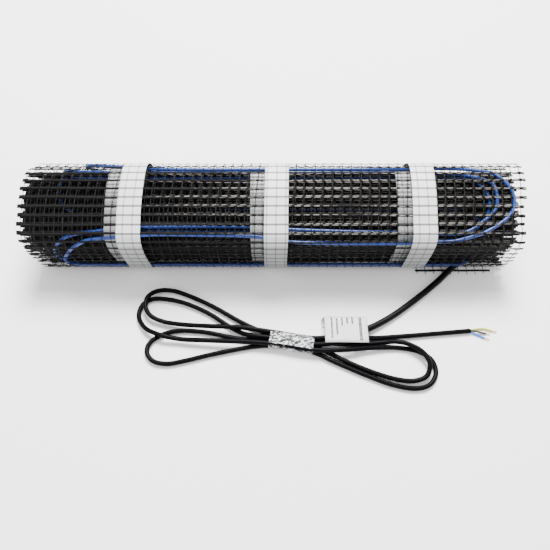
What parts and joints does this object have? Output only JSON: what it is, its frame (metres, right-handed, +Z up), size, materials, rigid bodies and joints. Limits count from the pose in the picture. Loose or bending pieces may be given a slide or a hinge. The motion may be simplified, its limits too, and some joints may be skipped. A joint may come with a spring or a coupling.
{
  "type": "underfloor heating mat",
  "caption": "Rolled electric underfloor heating mat: open mesh with a serpentine heating cable under tape strips, and its tied cold lead with stripped cores lying beside it.",
  "frame": {"origin": "centre of the roll's bounding box on the floor it lies on, the cold lead left out", "axes": "+X along the roll's axis, towards the end where the cold lead leaves; +Z up; -Y towards the cold lead, the side the picture is taken from"},
  "size_m": [0.512, 0.2363, 0.0972],
  "materials": {
    "mesh": "matt coated glass-fibre mesh",
    "tape": "satin white tape",
    "heating_cable": "smooth sheath",
    "lead_sheath": "smooth black sheath",
    "film": "clear crinkled film",
    "paper": "white label sheet",
    "core_blue": "smooth insulation",
    "core_brown": "smooth insulation",
    "core_green_yellow": "smooth striped insulation",
    "copper": "bare stranded copper"
  },
  "bodies": {
    "root": {"mesh_roll": "mesh", "tape_strip_left": "tape", "tape_strip_middle": "tape", "tape_strip_right": "tape", "heating_cable": "heating_cable", "joint_sleeve": "lead_sheath", "cold_lead": "lead_sheath", "film_wrap": "film", "label_tag": "paper", "core_neutral": "core_blue", "core_live": "core_brown", "core_earth": "core_green_yellow", "conductor_neutral": "copper", "conductor_live": "copper", "conductor_earth": "copper"}
  },
  "joints": []
}
